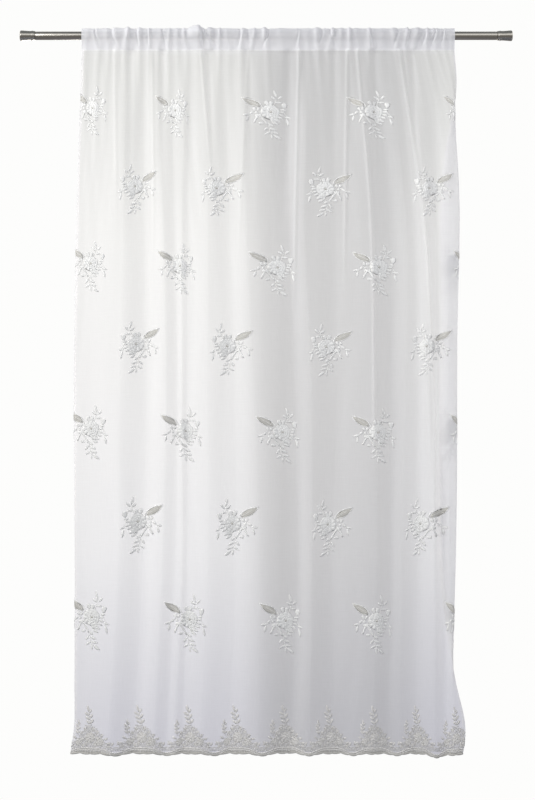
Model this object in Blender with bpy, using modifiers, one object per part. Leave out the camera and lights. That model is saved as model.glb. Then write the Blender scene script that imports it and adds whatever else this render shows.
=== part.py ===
"""A sheer voile curtain with a rod pocket, hung on a plain metal rod with two flared end caps.

Metres, +Z up. The origin is the middle of the rod's axis. X runs along the rod, and the room is on the -Y side.
"""

from collections import namedtuple
from math import radians

import bpy
import numpy as np

# The rod and its caps
ROD_RADIUS = 0.014
ROD_WALL = 0.001
ROD_OVERALL = 1.625
CAP_LENGTH = 0.050
CAP_SOCKET_DEPTH = 0.012
PIECE_GAP = 0.0003
ROUND_STEPS = 24

# The cloth as it was cut, and as it hangs
CLOTH_WIDTH = 1.50
CLOTH_THICKNESS = 0.0015
STITCH_Z = -0.0485
HEM_Z = -2.366
REPEAT = 0.175
FIRST_SPRIG = 0.066
DEEP_SCALLOP = 0.009
SMALL_SCALLOP = 0.004

# The hem hangs a little lower near the right corner
SAG_AT = 1.40
SAG = 0.007
SAG_HALF_WIDTH = 0.07

# Where the right selvedge turns back behind the cloth, measured on the flat cloth
TURN_START = 1.444
TURN_ROUNDING = 0.020
TURN_BACK = 0.016
TURN_BEGINS = (0.05, 0.30)
TURN_ENDS = (2.02, 2.16)

# The front of the cloth at the stitching
STITCH_OUT = 0.002
STITCH_FADE = 0.05

COLUMNS_PER_GATHER = 3
NARROW_GAP = 0.020

# How far along the rod a thread of the cloth hangs, at eight heights. flat is its place on the flat cloth.
LEVELS = (-0.048, -0.160, -0.377, -1.036, -1.861, -2.124, -2.300, -2.370)
Thread = namedtuple("Thread", "flat head neck upper middle lower knee ankle hem")
THREADS = (
    Thread(0.000, -0.608, -0.612, -0.620, -0.635, -0.633, -0.634, -0.637, -0.648),
    Thread(0.066, -0.563, -0.570, -0.577, -0.579, -0.576, -0.577, -0.581, -0.585),
    Thread(0.241, -0.429, -0.430, -0.432, -0.429, -0.420, -0.417, -0.412, -0.410),
    Thread(0.416, -0.303, -0.302, -0.298, -0.275, -0.255, -0.251, -0.251, -0.251),
    Thread(0.591, -0.168, -0.170, -0.168, -0.128, -0.106, -0.100, -0.095, -0.092),
    Thread(0.766, 0.003, 0.009, 0.020, 0.045, 0.063, 0.064, 0.064, 0.064),
    Thread(0.941, 0.168, 0.177, 0.191, 0.199, 0.206, 0.209, 0.212, 0.214),
    Thread(1.116, 0.333, 0.346, 0.364, 0.369, 0.364, 0.361, 0.358, 0.356),
    Thread(1.291, 0.491, 0.508, 0.532, 0.530, 0.502, 0.500, 0.500, 0.500),
    Thread(1.444, 0.583, 0.612, 0.627, 0.627, 0.620, 0.615, 0.611, 0.606),
    Thread(1.500, 0.621, 0.629, 0.592, 0.582, 0.584, 0.624, 0.657, 0.649),
)

# The long folds, from left to right: each line is a ridge or a trough, placed along the rod at five heights.
# out_top, out_middle and out_hem are how far it stands out towards the room, and a trough's are below 0.
FOLD_LEVELS = (-0.10, -0.62, -1.17, -1.76, -2.34)
Fold = namedtuple("Fold", "top upper middle lower hem out_top out_middle out_hem")
FOLDS = (
    Fold(-0.680, -0.680, -0.680, -0.680, -0.680, -0.010, -0.014, -0.014),
    Fold(-0.459, -0.473, -0.482, -0.489, -0.522, 0.008, 0.012, 0.012),
    Fold(-0.407, -0.403, -0.397, -0.410, -0.440, -0.008, -0.009, -0.007),
    Fold(-0.357, -0.341, -0.331, -0.344, -0.370, 0.006, 0.007, 0.004),
    Fold(-0.314, -0.304, -0.295, -0.304, -0.331, -0.003, -0.003, -0.003),
    Fold(-0.268, -0.278, -0.278, -0.278, -0.304, 0.003, 0.002, 0.002),
    Fold(-0.248, -0.258, -0.261, -0.261, -0.275, -0.002, -0.003, -0.003),
    Fold(-0.192, -0.192, -0.192, -0.192, -0.218, 0.010, 0.012, 0.007),
    Fold(-0.133, -0.123, -0.106, -0.100, -0.126, -0.006, -0.007, -0.005),
    Fold(-0.073, -0.067, -0.040, -0.020, -0.027, 0.006, 0.008, 0.007),
    Fold(0.069, 0.075, 0.092, 0.102, 0.079, -0.014, -0.016, -0.012),
    Fold(0.138, 0.128, 0.151, 0.151, 0.145, 0.008, 0.008, 0.006),
    Fold(0.237, 0.230, 0.234, 0.217, 0.227, -0.004, -0.005, -0.005),
    Fold(0.323, 0.349, 0.362, 0.362, 0.349, 0.008, 0.010, 0.006),
    Fold(0.366, 0.405, 0.412, 0.409, 0.402, -0.006, -0.006, -0.004),
    Fold(0.405, 0.461, 0.461, 0.448, 0.442, 0.004, 0.003, 0.002),
    Fold(0.435, 0.488, 0.501, 0.498, 0.491, -0.003, -0.003, -0.003),
    Fold(0.484, 0.527, 0.537, 0.554, 0.554, 0.008, 0.009, 0.006),
    Fold(0.554, 0.564, 0.567, 0.583, 0.590, -0.005, -0.006, -0.004),
    Fold(0.600, 0.603, 0.602, 0.607, 0.623, 0.004, 0.004, 0.008),
    Fold(0.689, 0.689, 0.689, 0.689, 0.706, -0.006, -0.006, 0.002),
)
FOLDS_BEGIN = 0.04
FOLDS_FULL = 0.34
FOLD_CRISPNESS = 0.45

# The gathers of the heading: where each crest is along the rod, how far it stands out and its half width.
Gather = namedtuple("Gather", "along out half_width")
GATHERS = (
    Gather(-0.596, 0.004, 0.010), Gather(-0.553, 0.008, 0.011), Gather(-0.519, 0.006, 0.009),
    Gather(-0.491, 0.007, 0.009), Gather(-0.464, 0.010, 0.011), Gather(-0.418, 0.008, 0.009),
    Gather(-0.386, 0.009, 0.008), Gather(-0.356, 0.006, 0.009), Gather(-0.323, 0.008, 0.009),
    Gather(-0.292, 0.006, 0.009), Gather(-0.262, 0.006, 0.009), Gather(-0.224, 0.017, 0.015),
    Gather(-0.186, 0.009, 0.010), Gather(-0.155, 0.008, 0.008), Gather(-0.122, 0.005, 0.010),
    Gather(-0.084, 0.010, 0.009), Gather(-0.050, 0.007, 0.009), Gather(0.003, 0.009, 0.010),
    Gather(0.056, 0.004, 0.014), Gather(0.108, 0.009, 0.009), Gather(0.139, 0.005, 0.009),
    Gather(0.171, 0.013, 0.011), Gather(0.206, 0.008, 0.009), Gather(0.244, 0.005, 0.011),
    Gather(0.277, 0.009, 0.009), Gather(0.308, 0.005, 0.009), Gather(0.342, 0.014, 0.011),
    Gather(0.381, 0.005, 0.012), Gather(0.431, 0.009, 0.010), Gather(0.459, 0.008, 0.008),
    Gather(0.486, 0.007, 0.009), Gather(0.528, 0.009, 0.009), Gather(0.561, 0.007, 0.008),
    Gather(0.589, 0.006, 0.007), Gather(0.612, 0.004, 0.006),
)
# The stitching flattens them to this share. Below it most of them fade fast, and the share kept fades slowly.
GATHERS_AT_STITCH = 0.45
GATHER_KEEP = 0.30
GATHER_FADE = 0.07
KEPT_FADE = 0.35

# The pocket's section, from the stitching at the front over the rod to the turned-in end behind.
# y and z are on the rod's section, and out and up say which way a gather pushes the cloth there.
Station = namedtuple("Station", "y z out up")
POCKET = (
    Station(-0.0020, -0.0485, -0.45, 0.0),
    Station(-0.0105, -0.0280, -0.7, 0.0),
    Station(-0.0172, -0.0080, -1.0, 0.0),
    Station(-0.0165, 0.0100, -0.8, 0.2),
    Station(-0.0085, 0.0200, -0.4, 0.5),
    Station(0.0085, 0.0200, 0.3, 0.5),
    Station(0.0165, 0.0100, 0.8, 0.2),
    Station(0.0168, -0.0110, 0.8, 0.0),
    Station(0.0018, -0.0480, -0.45, 0.0),
)

# Heights of the rows of faces between the hem's scallops and the stitching
DROP_ROWS = (-2.340, -2.300, -2.24, -2.14, -1.98, -1.72, -1.40, -1.08, -0.76, -0.46, -0.25, -0.13, -0.075)


def clear_scene():
    for thing in list(bpy.data.objects):
        bpy.data.objects.remove(thing, do_unlink=True)


def make_collection(name):
    made = bpy.data.collections.new(name)
    bpy.context.scene.collection.children.link(made)
    return made


def make_material(name, colour, roughness, metallic):
    made = bpy.data.materials.new(name)
    made.use_nodes = True
    shader = made.node_tree.nodes["Principled BSDF"]
    shader.inputs["Base Color"].default_value = (*colour, 1.0)
    shader.inputs["Roughness"].default_value = roughness
    shader.inputs["Metallic"].default_value = metallic
    return made


def smooth_steps(low, high, at):
    """0 at low and before, 1 at high and past it, and a soft rise between."""
    share = np.clip((at - low) / (high - low), 0.0, 1.0)
    return share * share * (3.0 - 2.0 * share)


def smooth_through(knots, values, at):
    """A smooth curve through values, which has a row for each knot. at has one entry for each column."""
    knots = np.asarray(knots, float)
    values = np.broadcast_to(np.asarray(values, float).reshape(len(knots), -1), (len(knots), len(at)))
    slopes = np.gradient(values, knots, axis=0)
    left = np.clip(np.searchsorted(knots, at, side="right") - 1, 0, len(knots) - 2)
    column = np.arange(len(at))
    gap = knots[left + 1] - knots[left]
    share = np.clip((at - knots[left]) / gap, 0.0, 1.0)
    square, cube = share**2, share**3
    return (
        (2 * cube - 3 * square + 1) * values[left, column]
        + (cube - 2 * square + share) * gap * slopes[left, column]
        + (3 * square - 2 * cube) * values[left + 1, column]
        + (cube - square) * gap * slopes[left + 1, column]
    )


def along_rod(flat, height):
    """Where a thread at flat hangs along the rod, at that height."""
    falling = -np.asarray(LEVELS)
    rows = [smooth_through(falling, thread[1:], -height) for thread in THREADS]
    return smooth_through([thread.flat for thread in THREADS], rows, flat)


def gathers_out(along):
    """How far the heading's gathers stand out at each place along the rod."""
    total = np.zeros_like(along)
    for gather in GATHERS:
        total += gather.out * np.exp(-(((along - gather.along) / gather.half_width) ** 2))
    return total


def gathers_left(height):
    """What is left of the gathers at the stitching and below it, as they open into the long folds."""
    below = height - STITCH_Z
    kept = GATHER_KEEP * np.exp(below / KEPT_FADE)
    return GATHERS_AT_STITCH * (kept + (1.0 - GATHER_KEEP) * np.exp(below / GATHER_FADE))


def folds_out(along, height):
    """How far the long folds stand out, from one ridge or trough line to the next."""
    falling = -np.asarray(FOLD_LEVELS)
    lines = np.stack([smooth_through(falling, fold[:5], -height) for fold in FOLDS])
    outs = np.stack([smooth_through(falling[::2], fold[5:], -height) for fold in FOLDS])
    left = np.clip((lines < along).sum(axis=0) - 1, 0, len(FOLDS) - 2)
    column = np.arange(len(along))
    start, end = lines[left, column], lines[left + 1, column]
    share = np.clip((along - start) / (end - start), 0.0, 1.0)
    share = FOLD_CRISPNESS * share + (1.0 - FOLD_CRISPNESS) * smooth_steps(0.0, 1.0, share)
    shown = smooth_steps(FOLDS_BEGIN, FOLDS_FULL, -height)
    return shown * (outs[left, column] * (1.0 - share) + outs[left + 1, column] * share)


def hang(flat, height):
    """The cloth's middle surface below the stitching: x, y and z of each point."""
    along = along_rod(flat, height)
    gathered = along_rod(flat, np.full_like(height, STITCH_Z))
    depth = gathers_out(gathered) * gathers_left(height) + folds_out(along, height)
    depth += STITCH_OUT * np.exp((height - STITCH_Z) / STITCH_FADE)
    turned = smooth_steps(TURN_START - TURN_ROUNDING, CLOTH_WIDTH, flat)
    turned *= smooth_steps(*TURN_BEGINS, -height) * (1.0 - smooth_steps(*TURN_ENDS, -height))
    return along, TURN_BACK * turned - depth, height


def hem_height(flat):
    """The lower edge: a deep lobe between two sprigs of the border and a small one below each."""
    turn = 2.0 * np.pi * (flat - FIRST_SPRIG) / REPEAT
    deep = np.clip(0.5 - 0.5 * np.cos(turn), 0.0, 1.0) ** 2
    small = np.clip(0.5 + 0.5 * np.cos(turn), 0.0, 1.0) ** 3
    sag = SAG * np.exp(-(((flat - SAG_AT) / SAG_HALF_WIDTH) ** 2))
    return HEM_Z - DEEP_SCALLOP * deep - SMALL_SCALLOP * small - sag


def column_places():
    """The flat places of the columns of vertices: on each gather's crest, and evenly between two crests."""
    crests = [THREADS[0].head] + [gather.along for gather in GATHERS] + [THREADS[-1].head]
    places = []
    for here, following in zip(crests, crests[1:]):
        steps = 1 if following - here < NARROW_GAP else COLUMNS_PER_GATHER
        places += [here + (following - here) * step / steps for step in range(steps)]
    places.append(crests[-1])
    return np.interp(places, [thread.head for thread in THREADS], [thread.flat for thread in THREADS])


def cloth_rows(flat):
    """The rows of points from the hem up to the stitching, over the rod and down to the turned-in end."""
    rows = [hang(flat, hem_height(flat))]
    rows += [hang(flat, np.full_like(flat, height)) for height in DROP_ROWS]
    along = along_rod(flat, np.full_like(flat, STITCH_Z))
    out = gathers_out(along)
    for station in POCKET:
        rows.append((along, station.y + station.out * out, station.z + station.up * out))
    return rows


def make_curtain(collection):
    """One sheet: the drop with its scalloped hem, and the top turned over the rod into a pocket."""
    flat = column_places()
    rows = cloth_rows(flat)
    columns = len(flat)
    bpy.ops.mesh.primitive_grid_add(x_subdivisions=columns - 1, y_subdivisions=len(rows) - 1, size=1.0)
    sheet = bpy.context.object
    sheet.name = sheet.data.name = "curtain"
    points = np.concatenate([np.stack(np.broadcast_arrays(*row), axis=1) for row in rows])
    sheet.data.vertices.foreach_set("co", points.astype(np.float32).ravel())
    sheet.data.update()
    sheet.data.shade_smooth()
    wall = sheet.modifiers.new("thickness", "SOLIDIFY")
    wall.thickness = CLOTH_THICKNESS
    wall.offset = 0.0
    wall.use_even_offset = True
    sheet.data.materials.append(make_material("white voile", (0.86, 0.86, 0.87), 0.85, 0.0))
    move_to(sheet, collection)


def move_to(thing, collection):
    for old in list(thing.users_collection):
        old.objects.unlink(thing)
    collection.objects.link(thing)


def make_turned(name, profile, collection, material):
    """A turned piece from its outline, as radius and height, run down the outer side. It is laid along X."""
    mesh = bpy.data.meshes.new(name)
    edges = [(i, (i + 1) % len(profile)) for i in range(len(profile))]
    if profile[0][0] == 0.0:
        edges.pop()
    mesh.from_pydata([(radius, 0.0, height) for radius, height in profile], edges, [])
    piece = bpy.data.objects.new(name, mesh)
    collection.objects.link(piece)
    turn = piece.modifiers.new("turning", "SCREW")
    turn.axis = "Z"
    turn.angle = radians(360.0)
    turn.steps = turn.render_steps = ROUND_STEPS
    turn.use_merge_vertices = True
    turn.merge_threshold = 0.00005
    turn.use_smooth_shade = True
    piece.data.materials.append(material)
    return piece


def make_rod(collection, material):
    """The tube, whose open ends lie in the sockets of the caps."""
    half = ROD_OVERALL / 2 - CAP_LENGTH + CAP_SOCKET_DEPTH - PIECE_GAP
    inner = ROD_RADIUS - ROD_WALL
    profile = [(inner, half), (ROD_RADIUS, half), (ROD_RADIUS, -half), (inner, -half)]
    rod = make_turned("rod", profile, collection, material)
    rod.rotation_euler = (0.0, radians(90.0), 0.0)


def cap_profile():
    """A socket for the rod, a bead, a slight waist, and a flare to a rounded rim with a flat end."""
    socket = ROD_RADIUS + PIECE_GAP
    return [
        (0.0, CAP_LENGTH),
        (0.0125, CAP_LENGTH),
        (0.0150, 0.0494),
        (0.0168, 0.0476),
        (0.0175, 0.0448),
        (0.0173, 0.0400),
        (0.0165, 0.0300),
        (0.0158, 0.0200),
        (0.0157, 0.0130),
        (0.0160, 0.0110),
        (0.0166, 0.0095),
        (0.0166, 0.0080),
        (0.0160, 0.0065),
        (0.0156, 0.0060),
        (0.0156, 0.0004),
        (0.0152, 0.0),
        (socket, 0.0),
        (socket, CAP_SOCKET_DEPTH),
        (0.0, CAP_SOCKET_DEPTH),
    ]


def make_caps(collection, material):
    for name, side in (("cap_left", -1.0), ("cap_right", 1.0)):
        cap = make_turned(name, cap_profile(), collection, material)
        cap.rotation_euler = (0.0, radians(90.0) * side, 0.0)
        cap.location = (side * (ROD_OVERALL / 2 - CAP_LENGTH), 0.0, 0.0)


def main():
    clear_scene()
    collection = make_collection("voile curtain on a rod")
    metal = make_material("brushed nickel", (0.52, 0.50, 0.47), 0.28, 1.0)
    make_curtain(collection)
    make_rod(collection, metal)
    make_caps(collection, metal)


main()
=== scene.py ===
"""The finish of an embroidered voile curtain that hangs gathered on a satin nickel rod.

Metres, +Z up. X runs along the rod, the viewer is on the -Y side, and the origin is the middle of the rod.
"""

from collections import namedtuple
from math import pi, radians, tau

import bpy
import numpy as np
from bpy.props import FloatProperty, FloatVectorProperty, IntProperty, PointerProperty
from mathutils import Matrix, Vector


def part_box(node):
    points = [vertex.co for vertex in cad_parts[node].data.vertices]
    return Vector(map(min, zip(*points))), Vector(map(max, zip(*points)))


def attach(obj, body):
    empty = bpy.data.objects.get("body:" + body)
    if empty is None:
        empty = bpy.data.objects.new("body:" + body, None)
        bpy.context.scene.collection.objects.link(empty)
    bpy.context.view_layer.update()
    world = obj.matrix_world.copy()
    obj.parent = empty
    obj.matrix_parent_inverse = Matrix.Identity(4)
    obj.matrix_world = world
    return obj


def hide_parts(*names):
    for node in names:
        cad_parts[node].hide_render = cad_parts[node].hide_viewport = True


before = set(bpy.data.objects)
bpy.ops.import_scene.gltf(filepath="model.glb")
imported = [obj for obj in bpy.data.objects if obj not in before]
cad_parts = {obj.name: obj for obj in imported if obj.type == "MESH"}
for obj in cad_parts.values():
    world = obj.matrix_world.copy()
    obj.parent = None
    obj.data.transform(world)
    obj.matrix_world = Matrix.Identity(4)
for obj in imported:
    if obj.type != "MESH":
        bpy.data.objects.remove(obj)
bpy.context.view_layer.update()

bl_info = {
    "name": "Voile curtain on a rod",
    "version": (1, 0, 0),
    "blender": (4, 5, 0),
    "location": "View3D > Sidebar > Curtain",
    "description": "Builds the cloth, the embroidery, the rod and the studio of a sheer curtain",
    "category": "Object",
}

ROD_LOW, ROD_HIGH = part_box("rod")
ROD_DIAMETER = ROD_HIGH.z - ROD_LOW.z
LEFT_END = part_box("cap_left")[0].x
RIGHT_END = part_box("cap_right")[1].x
CAP_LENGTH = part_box("cap_left")[1].x - LEFT_END
BODY = "root"
MILLI = 0.001

# The cloth as it was cut
CLOTH_WIDTH = 1.50
STITCH_Z = -0.0485
HEM_Z = -2.366
REPEAT = 0.175
FIRST_SPRIG = 0.066
DEEP_SCALLOP = 0.009
SMALL_SCALLOP = 0.004
SAG_AT = 1.40
SAG = 0.007
SAG_HALF_WIDTH = 0.07
TURN_START = 1.444
TURN_ROUNDING = 0.020
TURN_BACK = 0.016
TURN_BEGINS = (0.05, 0.30)
TURN_ENDS = (2.02, 2.16)
STITCH_OUT = 0.002
STITCH_FADE = 0.05

# How far along the rod a thread of the cloth hangs, at eight heights. flat is its place on the flat cloth.
LEVELS = (-0.048, -0.160, -0.377, -1.036, -1.861, -2.124, -2.300, -2.370)
Thread = namedtuple("Thread", "flat head neck upper middle lower knee ankle hem")
THREADS = [Thread(*row) for row in (
    (0.000, -0.608, -0.612, -0.620, -0.635, -0.633, -0.634, -0.637, -0.648),
    (0.066, -0.563, -0.570, -0.577, -0.579, -0.576, -0.577, -0.581, -0.585),
    (0.241, -0.429, -0.430, -0.432, -0.429, -0.420, -0.417, -0.412, -0.410),
    (0.416, -0.303, -0.302, -0.298, -0.275, -0.255, -0.251, -0.251, -0.251),
    (0.591, -0.168, -0.170, -0.168, -0.128, -0.106, -0.100, -0.095, -0.092),
    (0.766, 0.003, 0.009, 0.020, 0.045, 0.063, 0.064, 0.064, 0.064),
    (0.941, 0.168, 0.177, 0.191, 0.199, 0.206, 0.209, 0.212, 0.214),
    (1.116, 0.333, 0.346, 0.364, 0.369, 0.364, 0.361, 0.358, 0.356),
    (1.291, 0.491, 0.508, 0.532, 0.530, 0.502, 0.500, 0.500, 0.500),
    (1.444, 0.583, 0.612, 0.627, 0.627, 0.620, 0.615, 0.611, 0.606),
    (1.500, 0.621, 0.629, 0.592, 0.582, 0.584, 0.624, 0.657, 0.649),
)]

# The long folds, from left to right: each line is a ridge or a trough, placed along the rod at five heights.
# out_top, out_middle and out_hem are how far it stands out towards the room, and a trough's are below 0.
FOLD_LEVELS = (-0.10, -0.62, -1.17, -1.76, -2.34)
Fold = namedtuple("Fold", "top upper middle lower hem out_top out_middle out_hem")
FOLDS = [Fold(*row) for row in (
    (-0.680, -0.680, -0.680, -0.680, -0.680, -0.010, -0.014, -0.014),
    (-0.459, -0.473, -0.482, -0.489, -0.522, 0.008, 0.012, 0.012),
    (-0.407, -0.403, -0.397, -0.410, -0.440, -0.008, -0.009, -0.007),
    (-0.357, -0.341, -0.331, -0.344, -0.370, 0.006, 0.007, 0.004),
    (-0.314, -0.304, -0.295, -0.304, -0.331, -0.003, -0.003, -0.003),
    (-0.268, -0.278, -0.278, -0.278, -0.304, 0.003, 0.002, 0.002),
    (-0.248, -0.258, -0.261, -0.261, -0.275, -0.002, -0.003, -0.003),
    (-0.192, -0.192, -0.192, -0.192, -0.218, 0.010, 0.012, 0.007),
    (-0.133, -0.123, -0.106, -0.100, -0.126, -0.006, -0.007, -0.005),
    (-0.073, -0.067, -0.040, -0.020, -0.027, 0.006, 0.008, 0.007),
    (0.069, 0.075, 0.092, 0.102, 0.079, -0.014, -0.016, -0.012),
    (0.138, 0.128, 0.151, 0.151, 0.145, 0.008, 0.008, 0.006),
    (0.237, 0.230, 0.234, 0.217, 0.227, -0.004, -0.005, -0.005),
    (0.323, 0.349, 0.362, 0.362, 0.349, 0.008, 0.010, 0.006),
    (0.366, 0.405, 0.412, 0.409, 0.402, -0.006, -0.006, -0.004),
    (0.405, 0.461, 0.461, 0.448, 0.442, 0.004, 0.003, 0.002),
    (0.435, 0.488, 0.501, 0.498, 0.491, -0.003, -0.003, -0.003),
    (0.484, 0.527, 0.537, 0.554, 0.554, 0.008, 0.009, 0.006),
    (0.554, 0.564, 0.567, 0.583, 0.590, -0.005, -0.006, -0.004),
    (0.600, 0.603, 0.602, 0.607, 0.623, 0.004, 0.004, 0.008),
    (0.689, 0.689, 0.689, 0.689, 0.706, -0.006, -0.006, 0.002),
)]
FOLDS_BEGIN = 0.04
FOLDS_FULL = 0.34
FOLD_CRISPNESS = 0.25

# The gathers of the heading: where each crest is along the rod, how far it stands out and its half width.
Gather = namedtuple("Gather", "along out half_width")
GATHERS = [Gather(*row) for row in (
    (-0.596, 0.004, 0.010), (-0.553, 0.008, 0.011), (-0.519, 0.006, 0.009), (-0.491, 0.007, 0.009),
    (-0.464, 0.010, 0.011), (-0.418, 0.008, 0.009), (-0.386, 0.009, 0.008), (-0.356, 0.006, 0.009),
    (-0.323, 0.008, 0.009), (-0.292, 0.006, 0.009), (-0.262, 0.006, 0.009), (-0.224, 0.017, 0.015),
    (-0.186, 0.009, 0.010), (-0.155, 0.008, 0.008), (-0.122, 0.005, 0.010), (-0.084, 0.010, 0.009),
    (-0.050, 0.007, 0.009), (0.003, 0.009, 0.010), (0.056, 0.004, 0.014), (0.108, 0.009, 0.009),
    (0.139, 0.005, 0.009), (0.171, 0.013, 0.011), (0.206, 0.008, 0.009), (0.244, 0.005, 0.011),
    (0.277, 0.009, 0.009), (0.308, 0.005, 0.009), (0.342, 0.014, 0.011), (0.381, 0.005, 0.012),
    (0.431, 0.009, 0.010), (0.459, 0.008, 0.008), (0.486, 0.007, 0.009), (0.528, 0.009, 0.009),
    (0.561, 0.007, 0.008), (0.589, 0.006, 0.007), (0.612, 0.004, 0.006),
)]
# The stitching flattens them to this share. Below it most of them fade fast, and the share kept fades slowly.
GATHERS_AT_STITCH = 0.45
GATHER_KEEP = 0.30
GATHER_FADE = 0.07
KEPT_FADE = 0.35

# The pocket's section, from the stitching at the front over the rod to the turned-in end behind.
# y and z are on the rod's section, and out and up say which way a gather pushes the cloth there.
Station = namedtuple("Station", "y z out up")
POCKET = [Station(*row) for row in (
    (-0.0020, -0.0485, -0.45, 0.0),
    (-0.0105, -0.0280, -0.7, 0.0),
    (-0.0172, -0.0080, -1.0, 0.0),
    (-0.0165, 0.0100, -0.8, 0.2),
    (-0.0085, 0.0200, -0.4, 0.5),
    (0.0085, 0.0200, 0.3, 0.5),
    (0.0165, 0.0100, 0.8, 0.2),
    (0.0168, -0.0110, 0.8, 0.0),
    (0.0018, -0.0480, -0.45, 0.0),
)]

# Narrow creases that run down from the heading, at three heights, ending at foot
CREASE_LEVELS = (-0.05, -0.60, -1.20)
Crease = namedtuple("Crease", "top middle low out half_width foot")
CREASES = [Crease(*row) for row in (
    (0.108, 0.097, 0.088, 0.0040, 0.0050, -0.95),
    (0.268, 0.261, 0.256, 0.0040, 0.0050, -0.90),
    (0.300, 0.346, 0.357, 0.0045, 0.0055, -1.50),
    (0.440, 0.520, 0.556, 0.0045, 0.0055, -1.70),
    (-0.214, -0.172, -0.150, 0.0040, 0.0060, -0.60),
    (-0.500, -0.494, -0.500, 0.0020, 0.0060, -0.70),
    (-0.376, -0.372, -0.384, 0.0022, 0.0050, -0.80),
    (-0.058, -0.086, -0.096, 0.0020, 0.0060, -0.80),
    (-0.449, -0.455, -0.465, -0.0050, 0.0140, -0.60),
    (-0.344, -0.340, -0.335, -0.0040, 0.0120, -0.55),
    (-0.190, -0.180, -0.170, -0.0060, 0.0130, -0.60),
    (-0.057, -0.050, -0.045, -0.0045, 0.0150, -0.60),
    (0.075, 0.060, 0.050, -0.0050, 0.0170, -0.70),
    (0.222, 0.225, 0.228, -0.0040, 0.0130, -0.55),
    (0.352, 0.372, 0.385, -0.0050, 0.0130, -0.60),
    (0.482, 0.500, 0.515, -0.0045, 0.0120, -0.60),
)]
CREASE_FADE = 0.35

# Small waves of the cloth between the folds: their wave length and size on the flat cloth, how far they
# wander sideways, the height over which they do, and the depth at which they have nearly died away.
# They are stronger and weaker in turn across the cloth, about a mean.
Ripple = namedtuple("Ripple", "wave size wander over start fade")
RIPPLES = [Ripple(*row) for row in (
    (0.0310, 0.0004, 0.020, 0.90, 0.4, 0.40),
    (0.0470, 0.0008, 0.024, 1.30, 1.9, 0.60),
    (0.0710, 0.0007, 0.030, 1.10, 3.1, 2.50),
    (0.1130, 0.0010, 0.050, 1.70, 5.2, 4.00),
)]
RIPPLES_MEAN = 0.6
RIPPLES_SWING = 0.4
RIPPLES_OVER = 0.61
RIPPLES_BEGIN = 0.05
RIPPLES_FULL = 0.16

# The finer shape of the pocket. LEANS tilt the gathers sideways as they rise, and PINCH narrows their crests.
# UNEVEN makes them larger and smaller along the rod: mean, swing, wave length and start.
Lean = namedtuple("Lean", "wave size start")
LEANS = (Lean(0.137, 0.007, 1.0), Lean(0.061, 0.004, 2.4), Lean(0.295, 0.005, 0.3))
PINCH = 1.25
GATHER_MOST = 0.0105
UNEVEN = (0.80, 0.36, 0.235, 1.1)
FLATTER = 0.40
POCKET_LOOSE = 0.003
POCKET_GIRTH = 0.165
# At which of the pocket's stations the gathers are at their full size, the pleats are, and both begin to fade
RISEN_AT = 3.0
PLEATED_AT = 1.6
FADES_FROM = 5.0

# Pleats pressed into the pocket: where each is along the rod, over it and at the stitching, and how deep
Pleat = namedtuple("Pleat", "top low depth half_width")
PLEATS = [Pleat(*row) for row in (
    (-0.563, -0.549, 0.0055, 0.0034), (-0.509, -0.489, 0.0040, 0.0045), (-0.426, -0.420, 0.0055, 0.0034),
    (-0.390, -0.389, 0.0055, 0.0032), (-0.341, -0.330, 0.0040, 0.0034), (-0.213, -0.206, 0.0075, 0.0040),
    (-0.200, -0.160, 0.0060, 0.0055), (-0.085, -0.093, 0.0050, 0.0034), (-0.060, -0.052, 0.0040, 0.0045),
    (0.008, -0.013, 0.0050, 0.0036), (0.106, 0.097, 0.0045, 0.0036), (0.184, 0.171, 0.0055, 0.0045),
    (0.212, 0.229, 0.0050, 0.0036), (0.346, 0.352, 0.0060, 0.0036), (0.434, 0.420, 0.0040, 0.0045),
    (0.472, 0.460, 0.0050, 0.0034), (0.527, 0.510, 0.0045, 0.0034), (0.557, 0.541, 0.0040, 0.0034),
    (0.584, 0.573, 0.0040, 0.0032),
)]

# The rows of the sheet's points stand closer towards the heading, and the side hems lie behind the cloth.
ROWS_CLOSER = 0.9
SIDE_HEM_COLUMNS = 4
SIDE_HEM_BACK = 0.0006


def linear(hex_colour):
    """An sRGB colour such as "#A0B0C0" as linear red, green and blue."""
    parts = [int(hex_colour[i:i + 2], 16) / 255.0 for i in (1, 3, 5)]
    return tuple(part / 12.92 if part <= 0.04045 else ((part + 0.055) / 1.055) ** 2.4 for part in parts)


def smooth_steps(low, high, at):
    """0 at low and before, 1 at high and past it, and a soft rise between."""
    share = np.clip((at - low) / (high - low), 0.0, 1.0)
    return share * share * (3.0 - 2.0 * share)


def smooth_through(knots, values, at):
    """A smooth curve through values, which has a row for each knot. at has one entry for each column."""
    knots = np.asarray(knots, float)
    values = np.broadcast_to(np.asarray(values, float).reshape(len(knots), -1), (len(knots), len(at)))
    slopes = np.gradient(values, knots, axis=0)
    left = np.clip(np.searchsorted(knots, at, side="right") - 1, 0, len(knots) - 2)
    column = np.arange(len(at))
    gap = knots[left + 1] - knots[left]
    share = np.clip((at - knots[left]) / gap, 0.0, 1.0)
    square, cube = share**2, share**3
    return (
        (2 * cube - 3 * square + 1) * values[left, column]
        + (cube - 2 * square + share) * gap * slopes[left, column]
        + (3 * square - 2 * cube) * values[left + 1, column]
        + (cube - square) * gap * slopes[left + 1, column]
    )


def along_rod(flat, height):
    """Where a thread at flat hangs along the rod, at that height."""
    falling = -np.asarray(LEVELS)
    rows = [smooth_through(falling, thread[1:], -height) for thread in THREADS]
    return smooth_through([thread.flat for thread in THREADS], rows, flat)


def gathers_out(along):
    """How far the heading's gathers stand out at each place along the rod."""
    total = np.zeros_like(along)
    for gather in GATHERS:
        total += gather.out * np.exp(-(((along - gather.along) / gather.half_width) ** 2))
    return total


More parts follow.
